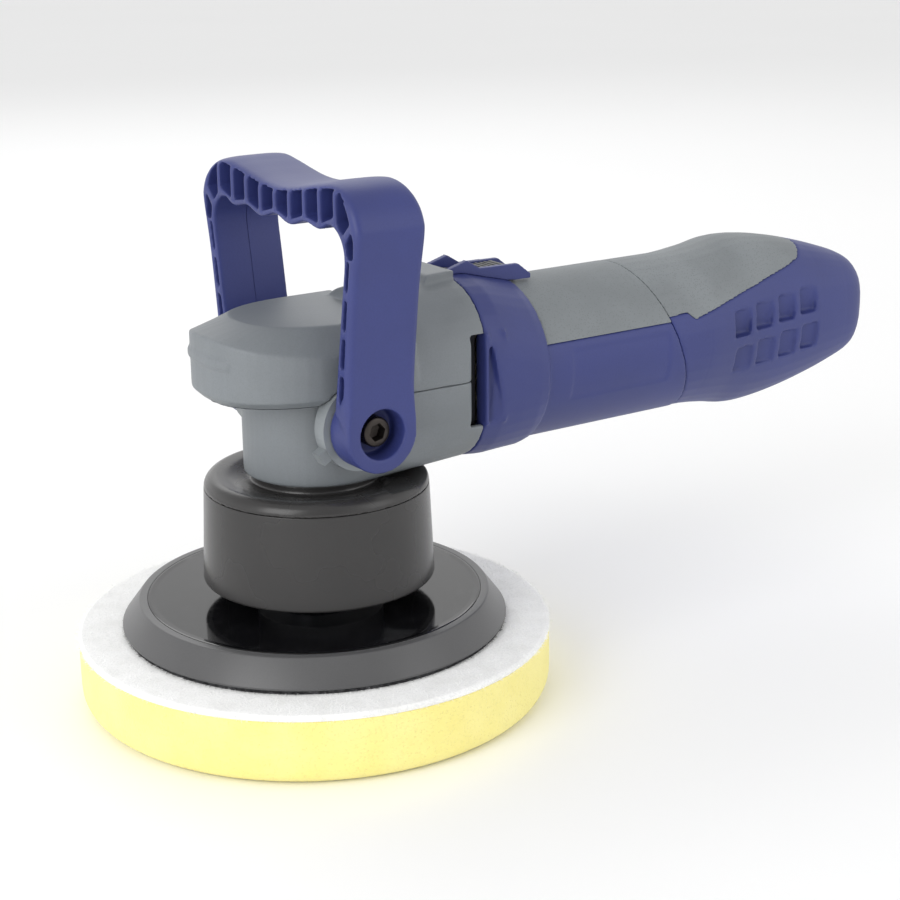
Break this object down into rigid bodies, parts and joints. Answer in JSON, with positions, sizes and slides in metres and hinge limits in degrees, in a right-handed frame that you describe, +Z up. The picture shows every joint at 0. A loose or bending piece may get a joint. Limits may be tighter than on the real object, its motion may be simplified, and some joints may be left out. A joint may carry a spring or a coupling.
{
  "type": "dual action polisher",
  "caption": "Dual action polisher: foam pad on an orbiting backing plate, bevel gear head with a hoop handle, inline motor housing and rear handle with slide switch and speed dial",
  "frame": {"origin": "where the drive spindle's axis meets the plane of the pad's working face", "axes": "+X along the motor towards the rear handle, +Y to the tool's left seen from behind, +Z up along the drive spindle"},
  "size_m": [0.3604, 0.18, 0.2003],
  "materials": {
    "foam": "soft open-cell polyurethane foam, pale yellow",
    "pile": "white brushed loop layer",
    "hook": "dark grey hook layer",
    "plate": "dark grey moulded polyurethane",
    "disc": "polished black",
    "steel": "turned and ground",
    "casting": "die cast, blasted",
    "weight": "cast, zinc grey",
    "seal": "black nitrile",
    "cover": "grey fine-grained plastic",
    "shroud": "dark grey fine-grained plastic",
    "fastener": "zinc plated",
    "shell": "slate blue fine-grained plastic",
    "grip": "grey soft-touch overmoulding",
    "button": "black plastic",
    "fan": "natural glass-filled nylon",
    "lamination": "stamped electrical steel, varnished",
    "winding": "varnished copper wire",
    "bar": "copper and brass",
    "carbon": "pressed carbon",
    "board": "green circuit board with black components"
  },
  "bodies": {
    "housing": {"spindle_bearing_outers": "steel", "spindle_seal": "seal", "gear_case": "casting", "head_cover": "cover", "head_skirt": "cover", "shroud": "shroud", "shroud_cap": "shroud", "shroud_screws": "fastener", "case_screws": "fastener", "pivot_bolts": "fastener", "motor_housing": "shell", "motor_grip": "grip", "switch_cowl": "shell", "switch_module": "button", "motor_bearing_outers": "steel", "bearing_boot": "seal", "fan_baffle": "button", "field_core": "lamination", "field_coils": "winding", "brush_holders": "bar", "carbon_brushes": "carbon", "brush_springs": "steel", "handle_shell_left": "shell", "handle_shell_right": "shell", "rear_grip": "grip", "handle_screws": "fastener", "control_board": "board", "cord_gland": "button", "cord_clamp": "button"},
    "drive": {"counterweight": "weight", "pad_bearing_outers": "steel", "bearing_circlip": "steel", "drive_spindle": "steel", "ring_gear": "steel", "spindle_bearing_inners": "steel", "spindle_bearing_balls": "steel"},
    "armature": {"armature_shaft": "steel", "pinion": "steel", "motor_bearing_inners": "steel", "motor_bearing_balls": "steel", "cooling_fan": "fan", "armature_core": "lamination", "armature_coils": "winding", "commutator": "bar"},
    "pad": {"pad_foam": "foam", "pad_loop": "pile", "hook_disc": "hook", "plate_rim": "plate", "plate_disc": "disc", "plate_hub": "steel", "plate_bolt": "steel", "pad_spindle": "steel", "spindle_nut": "steel", "pad_bearing_inners": "steel", "pad_bearing_balls": "steel"},
    "bail": {"bail_handle": "shell"},
    "switch": {"switch_slider": "button", "switch_rod": "button"},
    "dial": {"speed_dial": "button"}
  },
  "joints": [
    {"name": "drive_spin", "type": "hinge", "parent": "housing", "child": "drive", "pos_m": [0, 0, 0.11665], "axis": [0, 0, 1], "continuous": true},
    {"name": "armature_spin", "type": "hinge", "parent": "housing", "child": "armature", "pos_m": [0.09, 0, 0.11665], "axis": [1, 0, 0], "continuous": true},
    {"name": "pad_spin", "type": "hinge", "parent": "drive", "child": "pad", "pos_m": [0, 0.004, 0.05], "axis": [0, 0, 1], "continuous": true},
    {"name": "bail_tilt", "type": "hinge", "parent": "housing", "child": "bail", "pos_m": [0, 0, 0.112], "axis": [0, 1, 0], "range_deg": [-30, 30]},
    {"name": "switch_slide", "type": "slide", "parent": "housing", "child": "switch", "axis": [1, 0, 0], "range_m": [-0.006, 0]},
    {"name": "dial_turn", "type": "hinge", "parent": "housing", "child": "dial", "pos_m": [0.2604, 0, 0.12565], "axis": [0, 1, 0], "range_deg": [-135, 135]}
  ],
  "couplings": [
    {"joint": "armature_spin", "follows": "drive_spin", "ratio": 4.1111}
  ]
}
